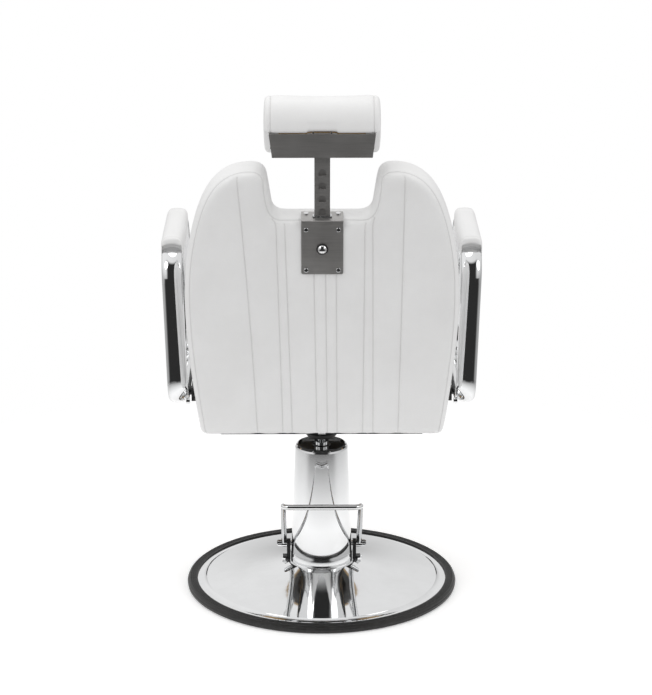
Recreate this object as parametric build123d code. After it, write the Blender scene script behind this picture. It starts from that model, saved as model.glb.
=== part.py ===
"""Hydraulic barber chair: pump base, swivelling seat, reclining back and sliding, tilting headrest.

Frame: millimetres, +Z up. The origin is the column's axis at floor level, and the chair faces -Y.
Lengths on the leaning back and on the headrest are given in the BACK plane: x across the chair,
s up along the back's rear face and d forward through its thickness.
"""
from build123d import *
import math
import os

# ---------------------------------------------------------------- driving dimensions
BASE_R = 305.0            # floor ring, outer radius
RING_H = 17.0             # height of the floor ring
RING_BAND = 23.0          # width of the ring's top band
SHEET_T = 2.0             # spun base sheet
KNEE_R = 264.0            # where the flat rim turns into the cone
CONE_TOP_R = 76.0
CONE_TOP_Z = 57.0

FLANGE_T = 4.0            # pump foot flange, on the cone's flat top
EAR_X = 92.0              # tips of the flange's two ears
COLLAR_R = 69.5
COLLAR_TOP = 79.0
COVER_R_LOW = 68.6
COVER_R_HIGH = 58.8
COVER_TOP = 334.0
COVER_LIP_R = 50.0

RAM_R = 16.0
RAM_TOP = 385.7
OIL_TUBE_R = 30.0
OIL_TUBE_BORE = 24.0
BLOCK_TOP = 115.0
GLAND_Z = 312.0

SHAFT_Z = 94.0            # pedal shaft height
SHAFT_R = 6.0
PEDAL_X = 84.5            # pedal arm centre lines
PEDAL_ROD_R = 6.0
PEDAL_REACH = 212.0
PEDAL_TOP_Z = 259.0
PEDAL_SWING = 25.0
CAM_REACH = 46.0

HUB_Z = 352.0
PLATE_Z = 388.0           # underside of the seat mounting plate
FRAME_Z = 394.0
FRAME_TOP = 436.0
BEAM_TOP = 424.0          # top of the frame's cross beams
RAIL_X = 130.0
RAIL_W = 25.0
SEAT_FRONT = -300.0
SEAT_REAR = 175.0
SEAT_HALF = 255.0
SEAT_BOTTOM = 448.0
SEAT_TOP = 562.0

BACK_TILT = 10.0          # lean of the back at rest, degrees
BACK_Y = 275.0            # rear face of the back at height BACK_Z
BACK_Z = 430.0
BACK_T = 92.0             # thickness of the upholstered back
BACK_LOW = 12.0           # bottom edge, along the back
NOTCH_S = 515.0           # floor of the headrest notch
SHOULDER_S = 622.0
BACK_HALF = 283.0
PANEL_D = 15.0            # rear upholstered panel
BOARD_D = 29.0            # front of the plywood board

RECLINE_Y = 150.0         # recline hinge
RECLINE_Z = 462.0
RECLINE_MAX = 40.0
LEVER_LEN = 42.0          # hinge to cross rod
STRUT_Z = 421.3
STRUT_R = 10.0
FOOT_TUBE_X = 105.0       # footrest tubes, socketed in the seat frame
FOOT_TUBE_Z = 409.0
FOOT_TUBE_R = 9.5
FOOT_TUBE_END = -210.0
LEVER_Y = -182.0          # shaft of the recline lever
LEVER_Z = 424.0
LEVER_R = 5.0

ARM_X = 320.0             # arm loops, at the height of their top tube
ARM_LEAN = 0.03           # they come in by this share towards the seat frame
TUBE_W = 44.0
TUBE_H = 23.0
ARM_TOP_Z = 815.0
ARM_LOW_Z = 482.0
ARM_LOW_X = ARM_X - ARM_LEAN * (ARM_TOP_Z - ARM_LOW_Z)
ARM_REAR_Y = 176.0
ARM_FRONT_Y = -236.0
ARM_BEND_R = 58.0
PAD_LEN = 275.0

BAR_W = 32.0
BAR_T = 6.0
BAR_D = 18.0              # rear face of the headrest bar
BAR_LOW = 363.0
WINDOW_PITCH = 29.0
TILT_S = 690.0            # headrest tilt pin
TILT_D = 24.0
TRAY_LOW = 656.0
TRAY_TOP = 707.0
HEAD_HALF = 117.0
PLATE_LOW = 398.0         # steel plate on the back's rear face
PLATE_HALF = 43.0
PLATE_T = 2.5
PLATE_SCREW_X = 33.0
PLATE_SCREWS = [(x, s) for x in (-PLATE_SCREW_X, PLATE_SCREW_X) for s in (407.5, 498.5)]
GUIDE_WALL = 3.0          # wall of the bar's guide tube
BUTTON_S = 455.0
COLLAR_BODY_R = 10.4      # the button collar's body, through the plate and the panel

BACK = Plane(
    origin=(0, BACK_Y, BACK_Z),
    x_dir=(1, 0, 0),
    z_dir=(0, -math.cos(math.radians(BACK_TILT)), math.sin(math.radians(BACK_TILT))),
)
SIDES = {"left": 1, "right": -1}
BOTTOM = (Align.CENTER, Align.CENTER, Align.MIN)
os.makedirs("parts", exist_ok=True)


# ---------------------------------------------------------------- small builders
def save(name, *solids):
    """Write one node; several solids become a group of separate solids."""
    shape = solids[0] if len(solids) == 1 else Compound(children=list(solids))
    export_step(shape, f"parts/{name}.step")


def solid(shape):
    """The one solid of a boolean's result."""
    return shape.solids()[0]


def disc(radius, z_low, z_high, x=0.0, y=0.0):
    return Pos(x, y, z_low) * Cylinder(radius, z_high - z_low, align=BOTTOM)


def ring(r_out, r_in, z_low, z_high, x=0.0, y=0.0):
    return disc(r_out, z_low, z_high, x, y) - disc(r_in, z_low - 1, z_high + 1, x, y)


def box(x0, x1, y0, y1, z0, z1):
    return Pos((x0 + x1) / 2, (y0 + y1) / 2, (z0 + z1) / 2) * Box(x1 - x0, y1 - y0, z1 - z0)


def pin_x(y, z, radius, x0, x1):
    """A round bar along X."""
    low, high = min(x0, x1), max(x0, x1)
    return Pos(low, y, z) * Rot(0, 90, 0) * Cylinder(radius, high - low, align=BOTTOM)


def pin_y(x, z, radius, y0, y1):
    """A round bar along Y."""
    return Pos(x, y1, z) * Rot(90, 0, 0) * Cylinder(radius, y1 - y0, align=BOTTOM)


def pin_d(x, s, radius, d0, d1):
    """A round bar through the back's thickness."""
    return BACK * (Pos(x, s, d0) * Cylinder(radius, d1 - d0, align=BOTTOM))


def rod_x(s, d, radius, x0, x1):
    """A round bar across the back."""
    return BACK * (Pos(x0, s, d) * Rot(0, 90, 0) * Cylinder(radius, x1 - x0, align=BOTTOM))


def rod_s(x, d, radius, s0, s1):
    """A round bar up along the back."""
    return BACK * (Pos(x, s0, d) * Rot(-90, 0, 0) * Cylinder(radius, s1 - s0, align=BOTTOM))


def back_box(x0, x1, s0, s1, d0, d1):
    return BACK * box(x0, x1, s0, s1, d0, d1)


def turned(*points):
    """Revolve an (r, z) outline about the column's axis."""
    return revolve(Plane.XZ * make_face(Polyline(*points, close=True)), Axis.Z)


def plate_yz(points, x0, x1):
    """A plate with a (y, z) outline between two x positions."""
    low, high = min(x0, x1), max(x0, x1)
    face = make_face(Polyline(*points, close=True))
    return extrude(Plane.YZ.offset(low) * face, high - low)


def link_yz(y0, z0, y1, z1, width, x0, x1):
    """A flat link with rounded ends from one (y, z) centre to another."""
    low, high = min(x0, x1), max(x0, x1)
    length = math.hypot(y1 - y0, z1 - z0)
    angle = math.degrees(math.atan2(z1 - z0, y1 - y0))
    slot = Pos((y0 + y1) / 2, (z0 + z1) / 2) * Rot(0, 0, angle) * SlotCenterToCenter(length, width)
    return extrude(Plane.YZ.offset(low) * slot, high - low)


def to_world(s, d):
    """The (y, z) of a point given along and through the back."""
    point = BACK.from_local_coords(Vector(0, s, d))
    return point.Y, point.Z


def hex_bolt_z(x, y, z_head, z_end, radius=4.0, head_r=7.0, head_h=5.0):
    """A bolt along Z with its head at z_head, pointing towards z_end."""
    away = 1 if z_head > z_end else -1
    shank = disc(radius, min(z_head, z_end), max(z_head, z_end), x, y)
    hexagon = extrude(RegularPolygon(head_r, 6), head_h * away)
    return solid(shank + Pos(x, y, z_head) * hexagon)


# ---------------------------------------------------------------- base
def base():
    lip = 8.5                        # how far the ring's lips grip the sheet
    inner = BASE_R - RING_BAND
    sheet_z = 12.0
    groove_w, groove_h = 1.6, 0.7
    floor_ring = turned(
        (inner + 2, 0), (BASE_R - 5, 0), (BASE_R - 1, 3), (BASE_R, 9), (BASE_R - 2, 14),
        (BASE_R - 6, RING_H), (inner, RING_H), (inner, sheet_z + SHEET_T),
        (inner + lip, sheet_z + SHEET_T), (inner + lip, sheet_z), (inner, sheet_z), (inner, 2),
    )
    for step in range(3):
        r = inner + 5 + 4.4 * step
        floor_ring -= ring(r + groove_w, r, RING_H - groove_h, RING_H + 1)
    save("rubber_ring", solid(floor_ring))

    rim_top = sheet_z + SHEET_T
    mid_r = (KNEE_R + CONE_TOP_R) / 2
    sag = 5.5
    mid_z = (rim_top + 5 + CONE_TOP_Z) / 2 - sag
    top = Line((CONE_TOP_R, CONE_TOP_Z), (0, CONE_TOP_Z))
    cone = ThreePointArc((KNEE_R - 3, rim_top + 5), (mid_r, mid_z), (CONE_TOP_R, CONE_TOP_Z))
    knee = ThreePointArc((KNEE_R + 5, rim_top), (KNEE_R, rim_top + 2), (KNEE_R - 3, rim_top + 5))
    rim = Line((inner + lip, rim_top), (KNEE_R + 5, rim_top))
    edge = Line((inner + lip, sheet_z), (inner + lip, rim_top))
    rim_under = Line((inner + lip, sheet_z), (KNEE_R + 4, sheet_z))
    knee_under = Line((KNEE_R + 4, sheet_z), (KNEE_R - 4, rim_top + 3))
    under = ThreePointArc(
        (KNEE_R - 4, rim_top + 3), (mid_r, mid_z - SHEET_T), (CONE_TOP_R, CONE_TOP_Z - SHEET_T)
    )
    top_under = Line((CONE_TOP_R, CONE_TOP_Z - SHEET_T), (0, CONE_TOP_Z - SHEET_T))
    axis_line = Line((0, CONE_TOP_Z - SHEET_T), (0, CONE_TOP_Z))
    outline = make_face(
        Curve() + [top, cone, knee, rim, edge, rim_under, knee_under, under, top_under, axis_line]
    )
    dome = revolve(Plane.XZ * outline, Axis.Z)
    bolt_pcd_r = 50.0
    bolt_spots = [Rot(0, 0, 45 + 90 * i) * Pos(bolt_pcd_r, 0, 0) for i in range(4)]
    clearance_hole = 5.3
    for spot in bolt_spots:
        dome -= spot * disc(clearance_hole, CONE_TOP_Z - 5, CONE_TOP_Z + 1)
    save("base_dome", solid(dome))

    under_z = CONE_TOP_Z - SHEET_T
    core = turned(
        (0, 3), (225, 3), (225, 11), (82, 15), (72, under_z), (0, under_z),
    )
    foot = disc(COLLAR_R, CONE_TOP_Z, COLLAR_TOP)
    ear_r = 13.0
    ears = Pos(0, 0, CONE_TOP_Z) * extrude(SlotOverall(2 * EAR_X, 2 * ear_r), FLANGE_T)
    flange_r = 74.0
    foot += disc(flange_r, CONE_TOP_Z, CONE_TOP_Z + FLANGE_T) + ears
    block_seat = 61.5
    foot -= disc(block_seat, CONE_TOP_Z + FLANGE_T, COLLAR_TOP + 1)
    bolts = []
    nut_z = CONE_TOP_Z + FLANGE_T
    for spot in bolt_spots:
        core -= spot * disc(5.3, 0, under_z + 1)
        core -= spot * disc(10, 0, 11)
        foot -= spot * disc(5.3, CONE_TOP_Z - 1, nut_z + 1)
        stud = disc(5, 5, nut_z + 12) + Pos(0, 0, 5) * extrude(RegularPolygon(8.5, 6), 6)
        bolts.append(solid(spot * stud))
    save("base_core_plate", solid(core))
    save("pump_foot", solid(foot))
    save("base_bolts", *bolts)
    return bolt_spots


# ---------------------------------------------------------------- pump
def pump(bolt_spots):
    base_z = CONE_TOP_Z + FLANGE_T
    block_r = 61.0
    boss_r = 13.0
    boss_top = 176.0
    block = disc(block_r, base_z, BLOCK_TOP) + disc(boss_r, BLOCK_TOP - 1, boss_top, 0, -CAM_REACH)
    block -= pin_x(0, SHAFT_Z, SHAFT_R + 0.05, -70, 70)
    block -= box(-8, 8, -59, 14, 70, 113)
    plunger_r = 5.0
    block -= disc(plunger_r + 0.1, 100, boss_top - 8, 0, -CAM_REACH)
    block -= disc(OIL_TUBE_R, BLOCK_TOP - 0.01, boss_top + 1)
    for spot in bolt_spots:
        block -= spot * disc(9.5, base_z - 1, base_z + 14)
    save("pump_block", solid(block))

    tube = ring(OIL_TUBE_R, OIL_TUBE_BORE, BLOCK_TOP, GLAND_Z)
    save("oil_cylinder", solid(tube))
    gland = disc(OIL_TUBE_R + 4, GLAND_Z, 327) + disc(OIL_TUBE_BORE, GLAND_Z - 12, GLAND_Z)
    gland -= disc(RAM_R + 0.08, GLAND_Z - 13, 328)
    gland -= disc(RAM_R + 5, 322, 328)
    save("gland_nut", solid(gland))
    save("ram_wiper_seal", solid(ring(RAM_R + 5, RAM_R + 0.1, 322, 330)))

    wall = 2.0
    drop = 8.0                       # height of the rounded shoulder
    cover = turned(
        (COVER_R_LOW, COLLAR_TOP), (COVER_R_HIGH, COVER_TOP - drop),
        (COVER_R_HIGH - 1.2, COVER_TOP - 4.2), (COVER_R_HIGH - 3.4, COVER_TOP - 1.4),
        (COVER_R_HIGH - 6.2, COVER_TOP), (COVER_LIP_R, COVER_TOP), (COVER_LIP_R, COVER_TOP - 8),
        (COVER_LIP_R + wall, COVER_TOP - 8), (COVER_LIP_R + wall, COVER_TOP - wall),
        (COVER_R_HIGH - 6.4, COVER_TOP - wall), (COVER_R_HIGH - wall, COVER_TOP - drop),
        (COVER_R_LOW - wall, COLLAR_TOP),
    )
    cover -= pin_x(0, SHAFT_Z, SHAFT_R + 1.2, -80, 80)
    save("pump_cover", solid(cover))
    cap = disc(COVER_LIP_R - 0.1, 327, 330.5) - disc(RAM_R + 5.2, 326, 331)
    save("cover_cap", solid(cap))

    piston_h = 20.0
    piston_z = BLOCK_TOP + 8
    save("lift_ram", solid(disc(RAM_R, piston_z, RAM_TOP)))
    head = ring(OIL_TUBE_BORE - 0.15, RAM_R, piston_z, piston_z + piston_h)
    groove = ring(OIL_TUBE_BORE + 1, OIL_TUBE_BORE - 3, piston_z + 7, piston_z + 13)
    save("ram_piston", solid(head - groove))
    save("piston_seal", solid(ring(OIL_TUBE_BORE - 0.1, OIL_TUBE_BORE - 3, piston_z + 7, piston_z + 13)))

    # the shaft's cam arm drops by half the swing and rises by half the swing
    half_swing = math.radians(PEDAL_SWING / 2)
    tip_y = -CAM_REACH * math.cos(half_swing)
    tip_z = SHAFT_Z - CAM_REACH * math.sin(half_swing)
    cam = link_yz(0, SHAFT_Z, tip_y, tip_z, 10, -6, 6) + pin_x(0, SHAFT_Z, 9.5, -6, 6)
    cam -= pin_x(0, SHAFT_Z, SHAFT_R, -7, 7)
    save("pedal_cam", solid(cam))
    plunger_low = tip_z + 5.5
    plunger = disc(plunger_r, plunger_low + plunger_r, plunger_low + 50, 0, -CAM_REACH)
    plunger += Pos(0, -CAM_REACH, plunger_low + plunger_r) * Sphere(plunger_r)
    save("pump_plunger", solid(plunger))


# ---------------------------------------------------------------- pedal
def pedal():
    lug_in, lug_out = 70.5, 78.5
    lug_top = SHAFT_Z + 10
    base_z = CONE_TOP_Z + FLANGE_T
    lugs = []
    for side in SIDES.values():
        upright = box(lug_in, lug_out, -10, 10, base_z, SHAFT_Z) + pin_x(0, SHAFT_Z, 10, lug_in, lug_out)
        toe = box(lug_out, EAR_X - 4, -9, 9, base_z, base_z + 3)
        lug = upright + toe - pin_x(0, SHAFT_Z, SHAFT_R + 0.05, lug_in - 1, lug_out + 1)
        lugs.append(solid(lug if side > 0 else mirror(lug, Plane.YZ)))
    save("pedal_lugs", *lugs)

    shaft_half = 101.0
    shaft = pin_x(0, SHAFT_Z, SHAFT_R, -shaft_half, shaft_half)
    hub_in, hub_out, hub_r = 79.0, 91.5, 9.6
    end_r = 8.0
    hubs = []
    for side in SIDES.values():
        hub = pin_x(0, SHAFT_Z, hub_r, side * hub_in, side * hub_out)
        hub -= pin_x(0, SHAFT_Z, SHAFT_R, side * (hub_in - 1), side * (hub_out + 1))
        hubs.append(solid(hub))
        shaft += pin_x(0, SHAFT_Z, end_r, side * hub_out, side * (shaft_half - 2))
    save("pedal_hubs", *hubs)
    save("pedal_shaft", solid(shaft))

    # a U of round rod: out from each hub, then a short flatter reach to the tread bar
    rise = math.atan2(PEDAL_TOP_Z - SHAFT_Z - 6, PEDAL_REACH - 26)
    start = (hub_r - 1.5) * math.cos(rise), SHAFT_Z + (hub_r - 1.5) * math.sin(rise)
    bend = (PEDAL_REACH - 26, PEDAL_TOP_Z - 6)
    corner_r, bend_r = 15.0, 26.0
    path = FilletPolyline(
        (PEDAL_X, *start), (PEDAL_X, *bend), (PEDAL_X, PEDAL_REACH, PEDAL_TOP_Z),
        (-PEDAL_X, PEDAL_REACH, PEDAL_TOP_Z), (-PEDAL_X, *bend), (-PEDAL_X, *start),
        radius=[bend_r, corner_r, corner_r, bend_r],
    )
    rod = sweep((path ^ 0) * Circle(PEDAL_ROD_R), path=path)
    rod -= pin_x(0, SHAFT_Z, hub_r, -95, 95)
    save("pedal_rod", solid(rod))


# ---------------------------------------------------------------- seat
def seat_mount():
    hub = turned(
        (0, PLATE_Z), (30, PLATE_Z), (30, 366), (34, 361), (34, HUB_Z + 3), (31, HUB_Z),
        (RAM_R + 0.06, HUB_Z), (RAM_R + 0.06, RAM_TOP + 0.3), (0, RAM_TOP + 0.3),
    )
    save("seat_hub", solid(hub))
    half_x, half_y = 146.0, 80.0
    plate = box(-half_x, half_x, -half_y, half_y, PLATE_Z, FRAME_Z)
    plate = fillet(plate.edges().filter_by(Axis.Z), 14)
    bolts = []
    for x in (-RAIL_X, RAIL_X):
        for y in (-58.0, 58.0):
            plate -= disc(4.2, PLATE_Z - 1, FRAME_Z + 1, x, y)
            bolts.append(hex_bolt_z(x, y, PLATE_Z, FRAME_Z + 12))
    save("seat_mount_plate", solid(plate))
    save("mount_bolts", *bolts)


def seat_frame():
    """Welded frame: two rails, cross members, outriggers to the arm brackets and hinge lugs."""
    wall = 3.0
    front, rear = -235.0, 115.0
    reach = 278.5
    frame = None
    for side in SIDES.values():
        x0 = side * RAIL_X - RAIL_W / 2
        rail = box(x0, x0 + RAIL_W, front, rear, FRAME_Z, FRAME_TOP)
        rail -= box(x0 + wall, x0 + RAIL_W - wall, front - 1, rear + 1, FRAME_Z + wall, FRAME_TOP - wall)
        frame = rail if frame is None else frame + rail
        inner = RAIL_X + RAIL_W / 2 - wall
        x0, x1 = sorted((side * inner, side * reach))
        frame += box(x0, x1, -160, -130, FRAME_Z, BEAM_TOP)
        x0, x1 = sorted((side * inner, side * 221))
        frame += box(x0, x1, 90, rear, FRAME_Z, BEAM_TOP)
        lug = plate_yz(
            [(88, FRAME_Z), (106, FRAME_Z), (118, BEAM_TOP), (136, BEAM_TOP + 16),
             (RECLINE_Y + 4, RECLINE_Z - 12), (139, RECLINE_Z - 2), (94, BEAM_TOP), (88, BEAM_TOP)],
            side * 215, side * 221,
        )
        lug += pin_x(RECLINE_Y, RECLINE_Z, 12, side * 215, side * 221)
        lug -= pin_x(RECLINE_Y, RECLINE_Z, 5.05, side * 214, side * 222)
        frame += lug
    frame += box(-reach, reach, front, front + 30, FRAME_Z, BEAM_TOP)
    frame += box(-RAIL_X, RAIL_X, rear - 25, rear, FRAME_Z, FRAME_Z + 10)
    for side in SIDES.values():
        for y in (-58.0, 58.0):
            frame -= disc(4.0, FRAME_Z - 1, FRAME_Z + 13, side * RAIL_X, y)
    frame -= pin_x(LEVER_Y, LEVER_Z, LEVER_R + 0.1, -145, -110)
    for side in SIDES.values():
        frame -= pin_y(side * FOOT_TUBE_X, FOOT_TUBE_Z, FOOT_TUBE_R, front - 1, FOOT_TUBE_END)
    for y0, y1 in ((-40, -15), (20, 45)):
        frame += box(-15, 15, y0, y1, FRAME_Z, STRUT_Z + 4)
    frame += box(-15, 15, -40, rear - 20, FRAME_Z, FRAME_Z + 3)
    frame -= pin_y(0, STRUT_Z, STRUT_R, -41, 46)
    save("seat_frame", solid(frame))


def seat_upholstery():
    board = box(-SEAT_HALF + 6, SEAT_HALF - 6, SEAT_FRONT + 8, 84, FRAME_TOP, SEAT_BOTTOM)
    board = fillet(board.edges().filter_by(Axis.Z), 24)
    save("seat_board", solid(board))
    lean = math.tan(math.radians(BACK_TILT))
    undercut_y, undercut_z = 112.0, 487.0
    cushion = plate_yz(
        [(SEAT_FRONT, SEAT_BOTTOM), (undercut_y, SEAT_BOTTOM), (undercut_y, undercut_z),
         (SEAT_REAR, undercut_z), (SEAT_REAR + lean * (SEAT_TOP - undercut_z), SEAT_TOP),
         (SEAT_FRONT, SEAT_TOP)],
        -SEAT_HALF, SEAT_HALF,
    )
    front_corners = cushion.edges().filter_by(Axis.Z).group_by(Axis.Y)[0]
    cushion = fillet(front_corners, 45)
    top_edges = cushion.edges().group_by(Axis.Z)[-1]
    cushion = fillet(top_edges, 16)
    save("seat_cushion", solid(cushion))


# ---------------------------------------------------------------- arms
def arm_path(side):
    """Centre line of an arm loop: a rounded four-sided frame seen from the side, leaning out."""
    top_x, low_x = side * ARM_X, side * ARM_LOW_X
    return FilletPolyline(
        (top_x, ARM_REAR_Y, ARM_TOP_Z), (low_x, ARM_REAR_Y - 8, ARM_LOW_Z),
        (low_x, ARM_FRONT_Y, ARM_LOW_Z), (top_x, ARM_FRONT_Y + 62, ARM_TOP_Z),
        radius=ARM_BEND_R, close=True,
    )


def arm_tube(side, grow=0.0):
    path = arm_path(side)
    spot = path.location_at(0)
    plane = Plane(origin=spot.position, x_dir=(1, 0, 0), z_dir=path.tangent_at(0))
    section = plane * Ellipse(TUBE_W / 2 + grow, TUBE_H / 2 + grow)
    return sweep(section, path=path)


def arms():
    wall, boss_r, bolt_r = 2.0, 10.0, 4.0
    face_x = ARM_LOW_X - TUBE_W / 2
    seat_in = 5.0                    # the bosses are coped to the oval tube
    bracket_x0, bracket_x1 = 278.5, 284.5
    bolt_points = [(-190.0, ARM_LOW_Z), (72.0, ARM_LOW_Z)]
    bolts, plugs = [], []
    for name, side in SIDES.items():
        x = side * ARM_X
        outer = arm_tube(side)
        tube = outer - arm_tube(side, -wall)
        for y, z in bolt_points:
            tube -= pin_x(y, z, bolt_r, side * (face_x - 1), side * (face_x + 14))
        plug_y, plug_z = ARM_REAR_Y - 26, ARM_LOW_Z + 1
        tube = solid(tube)
        plug = pin_x(plug_y, plug_z, 6.5, side * (face_x - 1.6), side * (face_x + 6))
        plugs.append(min((plug - outer).solids(), key=lambda piece: abs(piece.center().X)))
        save(f"arm_frame_{name}", tube)

        pad_y1 = ARM_REAR_Y - 28
        pad_y0 = pad_y1 - PAD_LEN
        pad = box(x - 24, x + 24, pad_y0, pad_y1, ARM_TOP_Z - 15, ARM_TOP_Z + 33)
        pad = fillet(pad.edges().filter_by(Axis.Y), 13)
        pad = fillet(pad.faces().sort_by(Axis.Y)[0].edges(), 8)
        pad -= arm_tube(side, 0.3)
        pad -= box(x - 14, x + 14, pad_y0 - 1, pad_y1 + 1, ARM_TOP_Z - 16, ARM_TOP_Z - TUBE_H / 2)
        save(f"arm_pad_{name}", max(pad.solids(), key=lambda piece: piece.volume))

        bracket = plate_yz(
            [(-235, FRAME_Z), (-126, FRAME_Z), (112, 470), (112, 500), (-235, 500)],
            side * bracket_x0, side * bracket_x1,
        )
        for y, z in bolt_points:
            bracket += pin_x(y, z, boss_r, side * bracket_x1, side * (face_x + seat_in)) - outer
            bracket -= pin_x(y, z, bolt_r, side * (bracket_x0 - 1), side * (face_x + seat_in + 1))
            bolt = pin_x(y, z, bolt_r, side * bracket_x0, side * (face_x + 13))
            bolt += pin_x(y, z, 7.5, side * (bracket_x0 - 4), side * bracket_x0)
            bolts.append(solid(bolt))
        if side < 0:
            hole_x0, hole_x1 = side * (bracket_x0 - 1), side * (bracket_x1 + 1)
            bracket -= pin_x(LEVER_Y, LEVER_Z, LEVER_R + 0.1, hole_x0, hole_x1)
        save(f"arm_bracket_{name}", solid(bracket))
    save("arm_bolts", *bolts)
    save("arm_plugs", *plugs)


# ---------------------------------------------------------------- recline mechanism
def recline():
    """Hinge straps on the back, cross rod, lockable strut and its hand lever."""
    lean = math.radians(RECLINE_MAX / 2)
    rod_y = RECLINE_Y + LEVER_LEN * math.sin(lean)
    rod_z = RECLINE_Z - LEVER_LEN * math.cos(lean)
    rod_r = 5.0
    strap_in, strap_out = 223.0, 229.0
    leg_d = BOARD_D + 9
    low_y, low_z = to_world(30, leg_d)
    top_y, top_z = to_world(170, leg_d)
    straps, pins = {}, []
    for name, side in SIDES.items():
        x0, x1 = side * strap_in, side * strap_out
        strap = link_yz(RECLINE_Y, RECLINE_Z, rod_y, rod_z, 16, x0, x1)
        strap += link_yz(RECLINE_Y, RECLINE_Z, low_y, low_z, 22, x0, x1)
        strap += link_yz(low_y, low_z, top_y, top_z, 18, x0, x1)
        flange = back_box(*sorted((side * 200, side * 223.1)), 60, 179, BOARD_D, BOARD_D + 3)
        strap += flange
        strap -= pin_x(RECLINE_Y, RECLINE_Z, 5.05, side * 222, side * 230)
        strap -= pin_x(rod_y, rod_z, rod_r, side * 222, side * 230)
        strap = solid(strap - back_box(-260, 260, 0, 200, 0, BOARD_D))
        save(f"back_hinge_{name}", strap)
        straps[name] = strap
        pin = pin_x(RECLINE_Y, RECLINE_Z, 5, side * 212, side * 233)
        pin += pin_x(RECLINE_Y, RECLINE_Z, 8, side * 212, side * 214.5)
        pin += pin_x(RECLINE_Y, RECLINE_Z, 8, side * 230, side * 233)
        pins.append(solid(pin))
    save("recline_pins", *pins)
    save("recline_cross_rod", solid(pin_x(rod_y, rod_z, rod_r, -strap_out, strap_out)))

    head_y0, head_y1 = -200.0, -165.0
    head = box(-13, 13, head_y0, head_y1, 402, 434) - pin_x(LEVER_Y, LEVER_Z, LEVER_R + 0.06, -14, 14)
    save("strut_release_head", solid(head))
    tube_end = 62.0
    tube = pin_y(0, STRUT_Z, STRUT_R, head_y1, tube_end) - pin_y(0, STRUT_Z, 4.06, -70, tube_end + 1)
    tube -= pin_y(0, STRUT_Z, 8, -70, tube_end - 12)
    save("strut_cylinder", solid(tube))

    play = 2.3                       # the strut's rod moves straight, the cross rod on an arc
    eye_r = rod_r + play + 3.2
    rod = pin_y(0, STRUT_Z, 4, 5, rod_y - eye_r + 1) + pin_x(rod_y, STRUT_Z, eye_r, -8, 8)
    rod += pin_y(0, STRUT_Z, 7.6, 5, 13)
    rod -= pin_x(rod_y, STRUT_Z, rod_r + play, -9, 9)
    save("strut_rod", solid(rod))

    drop = math.radians(28)
    length = 150.0
    handle_x0, handle_x1 = -291.5, -286.5
    tip_y = LEVER_Y - length * math.cos(drop)
    tip_z = LEVER_Z - length * math.sin(drop)
    lever = pin_x(LEVER_Y, LEVER_Z, LEVER_R, handle_x0, 12)
    lever += link_yz(LEVER_Y, LEVER_Z, tip_y, tip_z, 16, handle_x0, handle_x1)
    save("recline_lever", solid(lever))
    grip_y = LEVER_Y - 0.62 * length * math.cos(drop)
    grip_z = LEVER_Z - 0.62 * length * math.sin(drop)
    grip = link_yz(grip_y, grip_z, tip_y - 4, tip_z - 2, 24, handle_x0 - 5, handle_x1 + 5)
    grip = fillet(grip.edges().filter_by(GeomType.LINE).filter_by(Axis.X, reverse=True), 3)
    save("lever_grip", solid(grip - lever))
    return straps


# ---------------------------------------------------------------- back
def back_outline():
    """Half outline of the back in (x, s), closed along the middle, then mirrored."""
    foot_r = 12.0
    foot_half = 259.0
    side = Spline(
        (foot_half, BACK_LOW + foot_r), (BACK_HALF, 250), (266, 490), (150, SHOULDER_S),
        tangents=[(0.14, 1), (-1, 0.03)],
    )
    foot = RadiusArc(
        (foot_half - foot_r, BACK_LOW), (foot_half, BACK_LOW + foot_r), -foot_r
    )
    sole = Line((0, BACK_LOW), (foot_half - foot_r, BACK_LOW))
    notch = FilletPolyline(
        (150, SHOULDER_S), (116, SHOULDER_S - 1), (101, NOTCH_S), (0, NOTCH_S), radius=26
    )
    middle = Line((0, NOTCH_S), (0, BACK_LOW))
    half = make_face(Curve() + [side, foot, sole, notch, middle])
    return half + mirror(half, Plane.YZ)


def back_upholstery(straps, screws):
    outline = back_outline()

    def slab(d0, d1):
        return extrude(BACK.offset(d0) * outline, d1 - d0)

    rear = slab(0, PANEL_D)
    rear = fillet(rear.faces().sort_by(Axis((0, 0, 0), BACK.z_dir))[0].outer_wire().edges(), 9)
    channel = back_box(-BAR_W / 2 - 6, BAR_W / 2 + 6, 340, NOTCH_S + 20, PANEL_D - 0.01, BOARD_D + 1)
    guide_slot = back_box(-BAR_W / 2 - 4, BAR_W / 2 + 4, 345, NOTCH_S + 20, 14, 28)
    button_hole = pin_d(0, BUTTON_S, COLLAR_BODY_R, -1, PANEL_D + 1)
    rear = rear - guide_slot - button_hole
    board = slab(PANEL_D, BOARD_D) - channel
    for screw in screws:
        rear -= screw
        board -= screw
    save("back_rear_panel", solid(rear))
    save("back_board", solid(board))
    front = slab(BOARD_D, BACK_T)
    front = fillet(front.faces().sort_by(Axis((0, 0, 0), BACK.z_dir))[-1].outer_wire().edges(), 10)
    for strap in straps.values():
        front -= strap
    for screw in screws:
        front -= screw
    save("back_cushion", solid(front))


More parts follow.
